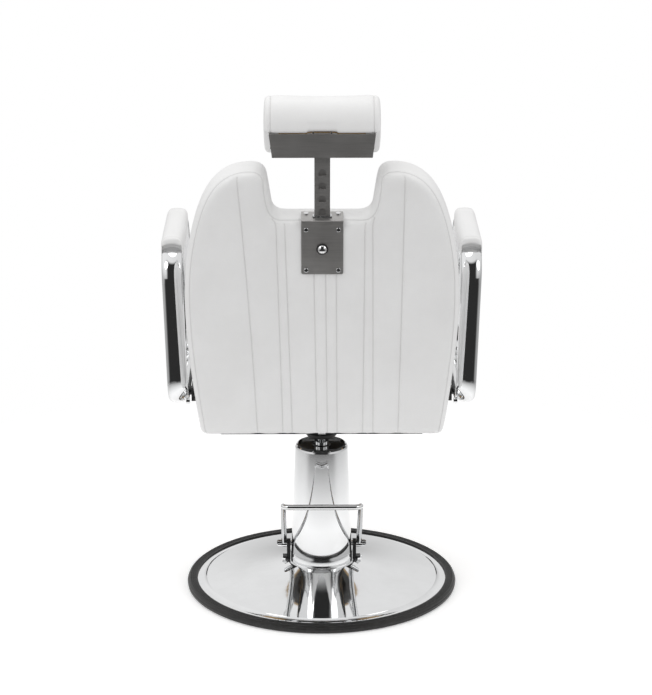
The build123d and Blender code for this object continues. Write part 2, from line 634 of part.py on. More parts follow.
def headrest_plate():
    """L-shaped steel plate: a leg down the rear of the back and a leg over the notch floor."""
    top = NOTCH_S + PLATE_T + 0.2
    bend_r = 4.0
    roof_depth = 46.0
    leg = back_box(-PLATE_HALF, PLATE_HALF, PLATE_LOW, top - bend_r, -PLATE_T, 0)
    roof = back_box(-PLATE_HALF, PLATE_HALF, top - PLATE_T, top, bend_r - PLATE_T, roof_depth)
    bend = rod_x(top - bend_r, bend_r - PLATE_T, bend_r, -PLATE_HALF, PLATE_HALF)
    bend &= back_box(-PLATE_HALF, PLATE_HALF, top - bend_r, top, -PLATE_T, bend_r - PLATE_T)
    bend -= rod_x(top - bend_r, bend_r - PLATE_T, bend_r - PLATE_T, -PLATE_HALF, PLATE_HALF)
    plate = leg + roof + bend
    corners = plate.edges().filter_by(lambda e: abs(e.length - PLATE_T) < 0.1)
    corners = corners.filter_by(lambda e: BACK.to_local_coords(e.center()).Y < PLATE_LOW + 1)
    plate = fillet(corners, 4)
    gap = GUIDE_WALL + 0.9
    slot_half = BAR_W / 2 + gap
    plate -= back_box(-slot_half, slot_half, top - bend_r, top + 1, BAR_D - gap, BAR_D + BAR_T + gap)
    plate -= pin_d(0, BUTTON_S, COLLAR_BODY_R, -5, 5)
    head_r, head_h, shank_r = 5.0, 2.4, 2.5
    screws = []
    for x, s in PLATE_SCREWS:
        head = pin_d(x, s, head_r, -PLATE_T - head_h, -PLATE_T)
        head = fillet(head.faces().sort_by(Axis((0, 0, 0), BACK.z_dir))[0].edges(), 1.6)
        head -= pin_d(x, s, 0.9, -PLATE_T - head_h - 1, -PLATE_T - 1.2)
        screws.append(solid(head + pin_d(x, s, shank_r, -PLATE_T - 0.1, BOARD_D + 6)))
    roof_d = 34.0
    for x in (-PLATE_SCREW_X, PLATE_SCREW_X):
        head = rod_s(x, roof_d, head_r, top, top + head_h)
        screws.append(solid(head + rod_s(x, roof_d, shank_r, top - 16, top + 0.1)))
    for screw in screws:
        plate -= screw
    return solid(plate), screws


def back_hardware():
    clear = 0.5
    half = BAR_W / 2 + clear
    d0, d1 = BAR_D - clear, BAR_D + BAR_T + clear
    outer = half + GUIDE_WALL
    guide = back_box(-outer, outer, 348, NOTCH_S + 5.5, d0 - GUIDE_WALL, d1 + GUIDE_WALL)
    guide -= back_box(-half, half, 340, NOTCH_S + 10, d0, d1)
    guide -= pin_d(0, BUTTON_S, 4.4, d0 - GUIDE_WALL - 1, d0 + 1)
    save("bar_guide", solid(guide))

    lip_r, lip_h, button_r = 12.0, 3.0, 9.4
    floor_d = 9.0
    collar = pin_d(0, BUTTON_S, lip_r, -PLATE_T - lip_h, -PLATE_T)
    collar = fillet(collar.faces().sort_by(Axis((0, 0, 0), BACK.z_dir))[0].edges(), 1.2)
    collar += pin_d(0, BUTTON_S, COLLAR_BODY_R, -PLATE_T - 0.1, floor_d)
    collar -= pin_d(0, BUTTON_S, button_r + 0.1, -10, floor_d - 1.5)
    collar -= pin_d(0, BUTTON_S, 4.2, floor_d - 3, floor_d + 1)
    save("button_collar", solid(collar))
    skirt_top = -PLATE_T - lip_h - 0.5
    dome_r = 11.0
    centre_d = skirt_top + math.sqrt(dome_r ** 2 - button_r ** 2)
    dome = BACK * (Pos(0, BUTTON_S, centre_d) * Sphere(dome_r)) & pin_d(0, BUTTON_S, button_r, -30, skirt_top)
    skirt = pin_d(0, BUTTON_S, button_r, skirt_top, 2)
    pin = pin_d(0, BUTTON_S, 4, 2, 13)
    save("headrest_button", solid(dome + skirt + pin))


# ---------------------------------------------------------------- headrest
def headrest():
    bar = back_box(-BAR_W / 2, BAR_W / 2, BAR_LOW, TILT_S - 6, BAR_D, BAR_D + BAR_T)
    barrel_r = 8.0
    bar += rod_x(TILT_S, TILT_D, barrel_r, -BAR_W / 2, BAR_W / 2)
    win_w, win_h, win_d = 14.5, 14.0, 4.5
    first = 616.5
    count = 9
    for k in range(count):
        s = first - WINDOW_PITCH * k
        arch = back_box(-win_w / 2, win_w / 2, s - win_h / 2, s, BAR_D - 1, BAR_D + win_d)
        arch += pin_d(0, s, win_w / 2, BAR_D - 1, BAR_D + win_d)
        bar -= arch
    pin_r = 4.0
    save("headrest_bar", solid(bar - rod_x(TILT_S, TILT_D, pin_r + 0.05, -40, 40)))

    # folded steel tray: rear plate, two flared side flanges and two ears for the tilt pin
    thick = 2.0
    depth = 34.0
    top_half, low_half = 107.6, 101.6
    screw_s = [TRAY_LOW + 13, TRAY_TOP - 3]
    rim = [(-low_half, TRAY_LOW), (low_half, TRAY_LOW), (top_half, TRAY_TOP), (-top_half, TRAY_TOP)]
    outer = extrude(BACK * make_face(Polyline(*rim, close=True)), depth)
    open_end = 5.0
    inner_rim = [
        (x - math.copysign(thick, x), s - open_end if s == TRAY_LOW else s + open_end) for x, s in rim
    ]
    inner = extrude(BACK.offset(thick) * make_face(Polyline(*inner_rim, close=True)), depth)
    tray = outer - inner
    ear_in, ear_out = BAR_W / 2 + 1, BAR_W / 2 + 4
    for side in SIDES.values():
        x0, x1 = sorted((side * ear_in, side * ear_out))
        ear = back_box(x0, x1, TILT_S - 12, TILT_S + 12, thick - 0.5, TILT_D)
        ear += rod_x(TILT_S, TILT_D, 12, x0, x1)
        tray += ear
    tray -= rod_x(TILT_S, TILT_D, pin_r, -30, 30)
    pin_half = ear_out + 2.5
    save("tilt_pin", solid(rod_x(TILT_S, TILT_D, pin_r, -pin_half, pin_half)))

    screws = []
    screw_d = 22.0
    for side in SIDES.values():
        for s in screw_s:
            wall_x = low_half + (top_half - low_half) * (s - TRAY_LOW) / (TRAY_TOP - TRAY_LOW)
            shank_x = sorted((side * (wall_x - 8), side * wall_x))
            head_x = sorted((side * (wall_x - 0.4), side * (wall_x + 2)))
            screws.append(solid(rod_x(s, screw_d, 2, *shank_x) + rod_x(s, screw_d, 4, *head_x)))
    for screw in screws:
        tray -= screw
    save("headrest_tray", solid(tray))
    save("tray_screws", *screws)

    # cushion: an oval roll with a pocket for the bar and the tray
    deep, tall = 53.0, 61.0
    mid_d, mid_s = 56.0, 706.0
    oval = Pos(mid_s, mid_d) * Ellipse(tall, deep)
    local = Plane(origin=(0, 0, 0), x_dir=(0, 1, 0), z_dir=(1, 0, 0))
    roll = extrude(local.offset(-HEAD_HALF) * oval, 2 * HEAD_HALF)
    roll = fillet(roll.edges(), 12)
    roll -= box(-200, 200, 0, 1000, -50, thick + 0.4)
    roll -= box(-top_half - 0.6, top_half + 0.6, TRAY_LOW - 1.5, TRAY_TOP + 0.5, -10, depth + 0.3)
    pocket = [(730, 0), (730, 40), (700, 40), (630, 62), (630, 0)]
    roll -= extrude(local.offset(-30) * make_face(Polyline(*pocket, close=True)), 60)
    board_h = 8.0
    board = box(-88, 88, TRAY_LOW + 4, TRAY_TOP - 2, depth + 0.3, depth + 0.3 + board_h)
    board -= extrude(local.offset(-30) * make_face(Polyline(*pocket, close=True)), 60)
    boards = board.solids()
    roll -= box(-88, 88, TRAY_LOW + 4, TRAY_TOP - 2, depth, depth + 0.3 + board_h)
    cushion = BACK * max(roll.solids(), key=lambda piece: piece.volume)
    for screw in screws:
        cushion -= screw
    save("headrest_cushion", solid(cushion))
    save("headrest_board", *[BACK * piece for piece in boards])


# ---------------------------------------------------------------- footrest
def footrest():
    drop_y, foot_z, bar_y = -455.0, 218.0, -580.0
    run = [(-320, FOOT_TUBE_Z), (drop_y, foot_z), (bar_y, foot_z)]
    route = [(FOOT_TUBE_END, FOOT_TUBE_Z)] + run
    points = [(FOOT_TUBE_X, y, z) for y, z in route] + [(-FOOT_TUBE_X, y, z) for y, z in reversed(route)]
    path = FilletPolyline(*points, radius=[55, 45, 30, 30, 45, 55])
    tube = sweep((path ^ 0) * Circle(FOOT_TUBE_R), path=path)
    half, y0, y1 = 180.0, -596.0, -492.0
    plate_t, lip_h = 4.0, 12.0
    top = foot_z + FOOT_TUBE_R
    tread = box(-half, half, y0, y1, top, top + plate_t)
    tread += box(-half, half, y0, y0 + plate_t, top - lip_h, top + plate_t + 3)
    tread = fillet(tread.edges().filter_by(Axis.Z), 1.5)
    rib_w, rib_h, rib_pitch = 5.0, 2.5, 13.0
    for step in range(7):
        y = y0 + 12 + rib_pitch * step
        tread += box(-half + 12, half - 12, y, y + rib_w, top + plate_t, top + plate_t + rib_h)
    bolts = [hex_bolt_z(x, bar_y, top - 2 * FOOT_TUBE_R, top + plate_t, 3, 5.5, 4) for x in (-60, 60)]
    for bolt in bolts:
        tube -= bolt
        tread -= bolt
    save("footrest_frame", solid(tube))
    save("footrest_tread", solid(tread))
    save("tread_bolts", *bolts)


spots = base()
pump(spots)
pedal()
seat_mount()
seat_frame()
seat_upholstery()
arms()
hinge_straps = recline()
notch_plate, notch_screws = headrest_plate()
save("headrest_plate", notch_plate)
save("plate_screws", *notch_screws)
back_upholstery(hinge_straps, notch_screws)
back_hardware()
headrest()
footrest()
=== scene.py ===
import math

import bmesh
import bpy
import numpy as np
from mathutils import Matrix, Vector
from mathutils.bvhtree import BVHTree
from mathutils.kdtree import KDTree


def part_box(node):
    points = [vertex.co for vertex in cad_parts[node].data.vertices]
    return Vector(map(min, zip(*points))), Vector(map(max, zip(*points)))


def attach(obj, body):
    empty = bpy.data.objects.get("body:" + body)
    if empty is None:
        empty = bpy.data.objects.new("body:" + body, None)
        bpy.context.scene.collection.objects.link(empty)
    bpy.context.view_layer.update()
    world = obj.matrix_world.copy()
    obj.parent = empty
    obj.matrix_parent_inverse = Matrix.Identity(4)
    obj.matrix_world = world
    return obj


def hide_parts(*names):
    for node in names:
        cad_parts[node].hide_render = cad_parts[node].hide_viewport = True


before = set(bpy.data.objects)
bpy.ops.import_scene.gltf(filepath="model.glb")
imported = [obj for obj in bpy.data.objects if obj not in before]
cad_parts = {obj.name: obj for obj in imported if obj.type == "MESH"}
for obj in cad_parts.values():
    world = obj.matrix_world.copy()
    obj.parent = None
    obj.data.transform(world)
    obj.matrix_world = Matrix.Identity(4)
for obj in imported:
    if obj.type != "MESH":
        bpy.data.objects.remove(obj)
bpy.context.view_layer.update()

scene = bpy.context.scene

BACK_TILT = math.radians(10)
BACK_FOOT = Vector((0, 0.275, 0.430))     # where the rear face would meet s = 0
S_DIR = Vector((0, math.sin(BACK_TILT), math.cos(BACK_TILT)))
D_DIR = Vector((0, -math.cos(BACK_TILT), math.sin(BACK_TILT)))
BACK = Matrix.Translation(BACK_FOOT) @ Matrix((Vector((1, 0, 0)), S_DIR, D_DIR)).transposed().to_4x4()

BACK_DEPTH = 0.092        # thickness of the upholstered back
REAR_ROUND = 0.022        # its rear and front edge radii
FRONT_ROUND = 0.030
BACK_SOLE = 0.012         # lowest edge of the back, along s
NOTCH_FLOOR = 0.515       # floor of the headrest notch, along s
PLATE_HALF = 0.043        # steel plate on the rear face
PLATE_LOW = 0.398
ARM_TUBE_TOP = 0.8265                     # height of the arm tubes' upper surface under the pads
TRAY_FOOT = 0.656                         # lower edge of the headrest tray, along s
HEAD_MID = (0.706, 0.056)                 # middle of the headrest roll (s, d)
HEAD_SEAM = 0.1045                        # end seams of the roll, across x


# ---------------------------------------------------------------- mesh helpers
def new_piece(name, points, faces, matrix=Matrix.Identity(4)):
    mesh = bpy.data.meshes.new(name)
    mesh.from_pydata([tuple(p) for p in points], [], faces)
    mesh.validate()
    mesh.update()
    piece = bpy.data.objects.new(name, mesh)
    scene.collection.objects.link(piece)
    piece.matrix_world = matrix
    return piece


def read_points(mesh):
    flat = np.empty(len(mesh.vertices) * 3)
    mesh.vertices.foreach_get("co", flat)
    return flat.reshape(-1, 3)


def write_points(mesh, points):
    mesh.vertices.foreach_set("co", points.ravel())
    mesh.update()


def read_normals(mesh):
    flat = np.empty(len(mesh.vertices) * 3)
    mesh.vertices.foreach_get("normal", flat)
    return flat.reshape(-1, 3)


def apply_modifiers(piece):
    bpy.context.view_layer.update()
    solid = piece.evaluated_get(bpy.context.evaluated_depsgraph_get())
    mesh = bpy.data.meshes.new_from_object(solid)
    piece.modifiers.clear()
    old, piece.data = piece.data, mesh
    bpy.data.meshes.remove(old)


def remesh(piece, voxel):
    modifier = piece.modifiers.new("voxels", "REMESH")
    modifier.mode = "VOXEL"
    modifier.voxel_size = voxel
    apply_modifiers(piece)


def subdivide(piece):
    modifier = piece.modifiers.new("subdivision", "SUBSURF")
    modifier.levels = modifier.render_levels = 1
    apply_modifiers(piece)


def relax(piece, rounds, hold=None):
    """Evens out the steps that a voxel remesh leaves."""
    mesh = piece.data
    edges = np.empty(len(mesh.edges) * 2, int)
    mesh.edges.foreach_get("vertices", edges)
    a, b = edges.reshape(-1, 2).T
    points = read_points(mesh)
    count = np.bincount(np.concatenate((a, b)), minlength=len(points))[:, None]
    pull = np.full((len(points), 1), 0.5) if hold is None else 0.5 * (1 - hold[:, None])
    for _ in range(rounds):
        total = np.zeros_like(points)
        np.add.at(total, a, points[b])
        np.add.at(total, b, points[a])
        points += (total / np.maximum(count, 1) - points) * pull
    write_points(mesh, points)


def smooth_step(value, low, high):
    t = np.clip((np.asarray(value, float) - low) / (high - low), 0, 1)
    return t * t * (3 - 2 * t)


def resample(points, spacing, closed=False):
    """Evenly spaced points along a line of points."""
    points = np.asarray(points, float)
    if closed:
        points = np.vstack((points, points[:1]))
    walked = np.concatenate(([0], np.cumsum(np.linalg.norm(np.diff(points, axis=0), axis=1))))
    count = max(2, int(walked[-1] / spacing) + 1)
    stations = np.linspace(0, walked[-1], count)[: -1 if closed else None]
    return np.column_stack([np.interp(stations, walked, axis) for axis in points.T])


def section(node, matrix, height):
    """The longest closed line where a CAD node crosses the plane z = height of that matrix."""
    inverse = matrix.inverted()
    bm = bmesh.new()
    bm.from_mesh(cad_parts[node].data)
    bm.transform(inverse)
    bmesh.ops.remove_doubles(bm, verts=bm.verts, dist=1e-6)
    bmesh.ops.bisect_plane(
        bm, geom=bm.verts[:] + bm.edges[:] + bm.faces[:], plane_co=(0, 0, height), plane_no=(0, 0, 1),
        clear_inner=True, clear_outer=True,
    )
    bmesh.ops.remove_doubles(bm, verts=bm.verts, dist=1e-6)
    left, best, best_length = set(bm.verts), None, 0
    while left:
        at = min(left, key=lambda v: v.index)
        line, before = [], None
        while at is not None and at in left:
            left.discard(at)
            line.append((at.co.x, at.co.y))
            step = [e.other_vert(at) for e in at.link_edges]
            step = [v for v in step if v in left and v is not before]
            before, at = at, (step[0] if step else None)
        length = sum(math.dist(p, q) for p, q in zip(line, line[1:]))
        if length > best_length:
            best, best_length = line, length
    bm.free()
    area = sum(p[0] * q[1] - q[0] * p[1] for p, q in zip(best, best[1:] + best[:1]))
    return best if area > 0 else best[::-1]


def slab(name, outline, low, high, matrix):
    """A closed block with that outline between two levels of the matrix."""
    count = len(outline)
    points = [(x, y, z) for z in (low, high) for x, y in outline]
    faces = [list(range(count))[::-1], list(range(count, 2 * count))]
    faces += [[i, (i + 1) % count, count + (i + 1) % count, count + i] for i in range(count)]
    return new_piece(name, points, faces, matrix)


def outward(outline):
    """Outward directions of a counterclockwise outline."""
    along = np.roll(outline, -1, 0) - np.roll(outline, 1, 0)
    normal = np.column_stack((along[:, 1], -along[:, 0]))
    return normal / np.linalg.norm(normal, axis=1, keepdims=True)


def tree_of(points):
    tree = KDTree(len(points))
    for i, p in enumerate(points):
        tree.insert(p, i)
    tree.balance()
    return tree


def nearest(tree, points):
    found = [tree.find(p)[1:] for p in points]
    return np.array([f[0] for f in found]), np.array([f[1] for f in found])


def round_rims(piece, outline, low, high, low_round, high_round):
    """Rolls the two rims of a slab's mesh over to those radii."""
    points = read_points(piece.data)
    rim = resample(outline, 0.001, closed=True)
    out = outward(rim)
    flat = np.column_stack((rim, np.zeros(len(rim))))
    tree = tree_of(flat)
    index, _ = nearest(tree, np.column_stack((points[:, :2], np.zeros(len(points)))))
    inset = -np.einsum("ij,ij->i", points[:, :2] - rim[index], out[index])
    for radius, level, way in ((low_round, low, 1), (high_round, high, -1)):
        depth = (points[:, 2] - level) * way
        a, b = radius - inset, radius - depth
        reach = np.hypot(a, b)
        turn = (a > 0) & (b > 0) & (reach > radius) & (inset < radius) & (depth < radius)
        scale = np.where(turn, radius / np.maximum(reach, 1e-9), 1)
        points[:, :2] -= (out[index].T * (a * (1 - scale)) * np.where(turn, 1, 0)).T
        points[:, 2] += b * (1 - scale) * way
    write_points(piece.data, points)


# ---------------------------------------------------------------- upholstery
def puff(piece, hold, cap, pressure=4.0, frames=20):
    """Inflates the cover like a stuffed one. hold is 1 where it is sewn or screwed down, cap the furthest a
    point may move."""
    rest = read_points(piece.data)
    group = piece.vertex_groups.new(name="hold")
    levels = np.round(hold * 10).astype(int)
    for level in range(1, 11):
        group.add(np.flatnonzero(levels == level).tolist(), level / 10, "REPLACE")
    cloth = piece.modifiers.new("cover", "CLOTH")
    settings = cloth.settings
    settings.quality = 4
    settings.use_pressure = True
    settings.uniform_pressure_force = pressure
    settings.effector_weights.gravity = 0
    settings.vertex_group_mass = group.name
    cloth.collision_settings.use_collision = False
    cloth.point_cache.frame_start, cloth.point_cache.frame_end = 1, frames
    for step in range(1, frames + 1):
        scene.frame_set(step)
    apply_modifiers(piece)
    scene.frame_set(1)
    piece.vertex_groups.clear()
    moved = read_points(piece.data) - rest
    length = np.maximum(np.linalg.norm(moved, axis=1), 1e-9)
    moved *= (cap * np.tanh(length / cap) / length)[:, None]
    write_points(piece.data, rest + moved)


def settle(lines, piece, spacing=0.0006):
    """Lines laid onto the piece's surface, evenly sampled."""
    mesh = piece.data
    surface = BVHTree.FromPolygons([v.co for v in mesh.vertices], [p.vertices for p in mesh.polygons])
    laid = []
    for line, closed in lines:
        samples = resample(line, spacing, closed)
        laid.append((np.array([surface.find_nearest(Vector(p))[0] for p in samples]), closed))
    return laid


def refine_near(piece, tree, reach):
    """Halves the mesh's edges close to the seams."""
    bm = bmesh.new()
    bm.from_mesh(piece.data)
    close = [f for f in bm.faces if tree.find(f.calc_center_median())[2] < reach]
    edges = list({e for f in close for e in f.edges})
    bmesh.ops.subdivide_edges(bm, edges=edges, cuts=1, use_grid_fill=True)
    bmesh.ops.triangulate(bm, faces=[f for f in bm.faces if len(f.verts) > 4])
    bm.to_mesh(piece.data)
    bm.free()
    piece.data.update()


def sew(piece, lines, valley=(0.0020, 0.011), groove=(0.0012, 0.0013)):
    """Pulls the cover in along its seams: a soft valley and a narrow groove, as (depth, half width)."""
    laid = settle(lines, piece)
    tree = tree_of(np.vstack([points for points, _ in laid]))
    for reach in (0.006, 0.003):
        refine_near(piece, tree, reach)
    points = read_points(piece.data)
    _, gap = nearest(tree, points)
    drop = sum(depth * np.exp(-((gap / width) ** 2)) for depth, width in (valley, groove))
    write_points(piece.data, points - read_normals(piece.data) * drop[:, None])
    # The seam attribute is the mask for painted shade: the vinyl darkens its colour along it.
    seam = piece.data.attributes.new("seam", "FLOAT", "POINT")
    seam.data.foreach_set("value", np.exp(-((gap / 0.0015) ** 2)).astype(np.float32))
    return laid


def stitch(name, piece, lines, offsets, body, pitch=0.0046, length=0.0031, radius=0.00032):
    """Small thread loops that run beside the seams, half sunk into the cover."""
    mesh = piece.data
    surface = BVHTree.FromPolygons([v.co for v in mesh.vertices], [p.vertices for p in mesh.polygons])
    points, faces = [], []
    rings = [(0.0, 0.35), (0.22, 1.0), (0.78, 1.0), (1.0, 0.35)]
    sides = 6
    for line, closed in lines:
        walk = resample(line, pitch, closed)
        ahead = np.roll(walk, -1, 0) - walk
        for start, along in list(zip(walk, ahead))[: None if closed else -1]:
            along = Vector(along).normalized()
            for offset in offsets:
                spot, up = surface.find_nearest(Vector(start))[:2]
                side = along.cross(up).normalized()
                spot, up = surface.find_nearest(spot + side * offset)[:2]
                side = along.cross(up).normalized()
                first = len(points)
                for share, girth in rings:
                    middle = spot + along * length * share - up * radius * (1 - girth)
                    for k in range(sides):
                        turn = 2 * math.pi * k / sides
                        points.append(middle + (side * math.cos(turn) + up * math.sin(turn)) * radius * girth)
                for row in range(len(rings) - 1):
                    for k in range(sides):
                        a, b = first + row * sides + k, first + row * sides + (k + 1) % sides
                        faces.append([a, b, b + sides, a + sides])
                faces.append([first + k for k in range(sides)][::-1])
                faces.append([first + (len(rings) - 1) * sides + k for k in range(sides)])
    thread = new_piece(name, points, faces, piece.matrix_world)
    finish_piece(thread, body, FINISHES["thread"])


def finish_piece(piece, body, material):
    piece.data.materials.clear()
    piece.data.materials.append(material)
    piece.data.polygons.foreach_set("use_smooth", [True] * len(piece.data.polygons))
    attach(piece, body)


# ---------------------------------------------------------------- materials
class Finish:
    """A Principled material, with short ways to add the nodes that vary it."""

    def __init__(self, name, **constants):
        self.material = bpy.data.materials.new(name)
        self.material.use_nodes = True
        self.tree = self.material.node_tree
        self.shader = self.tree.nodes["Principled BSDF"]
        self.place = self.add("ShaderNodeTexCoord").outputs["Object"]
        for socket, value in constants.items():
            self.shader.inputs[socket.replace("_", " ")].default_value = value

    def add(self, kind, inputs=None, **settings):
        node = self.tree.nodes.new(kind)
        for key, value in settings.items():
            setattr(node, key, value)
        for key, value in (inputs or {}).items():
            if isinstance(value, bpy.types.NodeSocket):
                self.tree.links.new(value, node.inputs[key])
            else:
                node.inputs[key].default_value = value
        return node

    def stretched(self, scale):
        return self.add("ShaderNodeMapping", {"Vector": self.place, "Scale": scale}).outputs[0]

    def noise(self, scale, detail=3.0, rough=0.5, place=None):
        inputs = {"Vector": place or self.place, "Scale": scale, "Detail": detail, "Roughness": rough}
        return self.add("ShaderNodeTexNoise", inputs).outputs[0]

    def cells(self, scale, feature="F1", place=None):
        inputs = {"Vector": place or self.place, "Scale": scale}
        return self.add("ShaderNodeTexVoronoi", inputs, feature=feature).outputs["Distance"]

    def remap(self, value, low, high, to_low, to_high):
        inputs = {"Value": value, "From Min": low, "From Max": high, "To Min": to_low, "To Max": to_high}
        return self.add("ShaderNodeMapRange", inputs).outputs[0]

    def math(self, kind, first, second=0.0):
        return self.add("ShaderNodeMath", {0: first, 1: second}, operation=kind).outputs[0]

    def blend(self, share, first, second):
        node = self.add("ShaderNodeMix", data_type="RGBA")
        for key, value in ((0, share), (6, first), (7, second)):
            if isinstance(value, bpy.types.NodeSocket):
                self.tree.links.new(value, node.inputs[key])
            else:
                node.inputs[key].default_value = value
        return node.outputs[2]

    def attribute(self, name):
        return self.add("ShaderNodeAttribute", attribute_name=name).outputs["Fac"]

    def bump(self, height, distance, strength=1.0, normal=None):
        inputs = {"Height": height, "Distance": distance, "Strength": strength}
        if normal is not None:
            inputs["Normal"] = normal
        return self.add("ShaderNodeBump", inputs).outputs[0]

    def drive(self, socket, value):
        self.tree.links.new(value, self.shader.inputs[socket])


def grey(value, warm=0.0):
    return (value * (1 + warm), value, value * (1 - warm), 1)


def vinyl():
    """Grained white vinyl: shallow pores, faint creases and painted shade darkening the seams."""
    f = Finish("grained_white_vinyl", Specular_IOR_Level=0.45)
    cloud = f.noise(7.0, 4.0, 0.6)
    base = f.blend(f.remap(cloud, 0.35, 0.65, 0, 1), grey(0.80, 0.004), grey(0.84, 0.002))
    fleck = f.remap(f.noise(420.0, 2.0), 0.3, 0.7, 0, 0.10)
    base = f.blend(fleck, base, grey(0.70, 0.01))
    # painted shade: along the seam mask the vinyl's colour is darkened towards a warm dark grey, standing in
    # for the shade in the seam grooves
    base = f.blend(f.remap(f.attribute("seam"), 0, 1, 0, 0.28), base, grey(0.42, 0.02))
    f.drive("Base Color", base)
    f.drive("Roughness", f.remap(f.noise(55.0, 4.0), 0.3, 0.7, 0.36, 0.50))
    grain = f.bump(f.cells(640.0, "SMOOTH_F1"), 0.00035, 0.30)
    pores = f.bump(f.noise(1500.0, 2.0), 0.0002, 0.22, grain)
    f.drive("Normal", f.bump(f.noise(16.0, 3.0, 0.55), 0.0040, 0.16, pores))
    return f.material


def thread():
    """Twisted white sewing thread."""
    f = Finish("white_thread", Specular_IOR_Level=0.3)
    wave = f.add("ShaderNodeTexWave", {"Vector": f.place, "Scale": 900.0, "Distortion": 1.5})
    shade = f.remap(f.noise(300.0), 0.3, 0.7, 0, 1)
    f.drive("Base Color", f.blend(shade, grey(0.74, 0.01), grey(0.84, 0.01)))
    f.drive("Roughness", f.remap(wave.outputs["Fac"], 0, 1, 0.55, 0.75))
    f.drive("Normal", f.bump(wave.outputs["Fac"], 0.0001, 0.5))
    return f.material


def chrome():
    """Polished plating with faint smudges and hairline rubs."""
    f = Finish("polished_chrome", Metallic=1.0)
    smudge = f.noise(9.0, 5.0, 0.62)
    hair = f.noise(60.0, 3.0, 0.5, f.stretched((1, 1, 40)))
    f.drive("Base Color", f.blend(f.remap(smudge, 0.4, 0.7, 0, 1), grey(0.83, -0.006), grey(0.78, -0.004)))
    rough = f.math("ADD", f.remap(smudge, 0.45, 0.75, 0.035, 0.085), f.remap(hair, 0.55, 0.8, 0, 0.05))
    f.drive("Roughness", rough)
    f.drive("Normal", f.bump(f.noise(28.0, 2.0), 0.0006, 0.035))
    return f.material


def brushed():
    """Satin steel, brushed across, with soft blotches from handling."""
    f = Finish("brushed_steel_sheet", Metallic=0.76)
    streaks = f.noise(260.0, 4.0, 0.6, f.stretched((0.06, 1, 1)))
    blotch = f.noise(14.0, 4.0, 0.6)
    shade = f.blend(f.remap(streaks, 0.3, 0.7, 0, 1), grey(0.36, 0.025), grey(0.43, 0.025))
    f.drive("Base Color", f.blend(f.remap(blotch, 0.45, 0.7, 0, 0.5), shade, grey(0.47, 0.02)))
    f.drive("Roughness", f.remap(blotch, 0.3, 0.7, 0.28, 0.38))
    f.drive("Normal", f.bump(streaks, 0.0003, 0.12))
    return f.material


def black_paint():
    """Powder coat: fine orange peel with rubbed edges."""
    f = Finish("black_powder_coat", Specular_IOR_Level=0.5)
    peel = f.noise(700.0, 2.0)
    f.drive("Base Color", f.blend(f.remap(f.noise(30.0, 5.0), 0.5, 0.75, 0, 1), grey(0.014), grey(0.032)))
    f.drive("Roughness", f.remap(f.noise(60.0), 0.3, 0.7, 0.34, 0.50))
    f.drive("Normal", f.bump(peel, 0.0003, 0.30))
    return f.material


def zinc():
    """Zinc plated fasteners, faintly mottled."""
    f = Finish("zinc_plate", Metallic=1.0)
    mottle = f.noise(180.0, 4.0, 0.6)
    f.drive("Base Color", f.blend(f.remap(mottle, 0.35, 0.65, 0, 1), grey(0.55, -0.01), grey(0.70, -0.01)))
    f.drive("Roughness", f.remap(mottle, 0.3, 0.7, 0.18, 0.32))
    f.drive("Normal", f.bump(f.noise(900.0), 0.0001, 0.3))
    return f.material


def iron():
    """Cast iron with a sand-cast skin."""
    f = Finish("sand_cast_iron", Metallic=0.8)
    skin = f.noise(320.0, 5.0, 0.7)
    f.drive("Base Color", f.blend(f.remap(skin, 0.3, 0.7, 0, 1), grey(0.07, 0.03), grey(0.14, 0.03)))
    f.drive("Roughness", f.remap(skin, 0.3, 0.7, 0.50, 0.75))
    f.drive("Normal", f.bump(skin, 0.0006, 0.6))
    return f.material


def rubber():
    """Moulded rubber trim with fine concentric ribs and one butt joint."""
    f = Finish("ribbed_black_rubber", Specular_IOR_Level=0.32)
    axes = f.add("ShaderNodeSeparateXYZ", {0: f.place}).outputs
    x_squared, y_squared = (f.math("MULTIPLY", axes[k], axes[k]) for k in (0, 1))
    radius = f.math("SQRT", f.math("ADD", x_squared, y_squared))
    rib_pitch = 0.0021
    ribs = f.math("SINE", f.math("MULTIPLY", radius, 2 * math.pi / rib_pitch))
    joint_y, joint_half = 0.022, 0.0009
    across = f.math("ABSOLUTE", f.math("SUBTRACT", axes[1], joint_y))
    one_side = f.math("GREATER_THAN", axes[0], 0.1)
    joint = f.math("MULTIPLY", f.remap(across, joint_half, 2 * joint_half, 1, 0), one_side)
    dust = f.noise(90.0, 5.0, 0.7)
    base = f.blend(f.remap(dust, 0.4, 0.75, 0, 1), grey(0.016, 0.02), grey(0.034, 0.02))
    f.drive("Base Color", f.blend(joint, base, grey(0.008)))
    f.drive("Roughness", f.remap(dust, 0.3, 0.7, 0.36, 0.52))
    relief = f.bump(ribs, 0.00028, 0.8, f.bump(f.noise(1200.0), 0.0001, 0.3))
    f.drive("Normal", f.bump(joint, -0.0010, 1.0, relief))
    return f.material


def plywood():
    """Birch plywood: long grain on the face."""
    f = Finish("birch_plywood", Specular_IOR_Level=0.3)
    grain = f.noise(55.0, 6.0, 0.65, f.stretched((1, 0.07, 1)))
    dark_wood, light_wood = (0.42, 0.27, 0.13, 1), (0.62, 0.45, 0.26, 1)
    f.drive("Base Color", f.blend(f.remap(grain, 0.3, 0.7, 0, 1), dark_wood, light_wood))
    f.drive("Roughness", f.remap(grain, 0.3, 0.7, 0.55, 0.75))
    f.drive("Normal", f.bump(grain, 0.0005, 0.4))
    return f.material


def tread_metal():
    """Cast aluminium footplate, polished by shoes on its ribs."""
    f = Finish("worn_tread_aluminium", Metallic=1.0)
    wear = f.noise(24.0, 5.0, 0.65)
    f.drive("Base Color", f.blend(f.remap(wear, 0.4, 0.65, 0, 1), grey(0.66), grey(0.82)))
    f.drive("Roughness", f.remap(wear, 0.35, 0.65, 0.42, 0.24))
    scratch = f.noise(300.0, 3.0, 0.6, f.stretched((1, 0.05, 1)))
    f.drive("Normal", f.bump(scratch, 0.0003, 0.3))
    return f.material


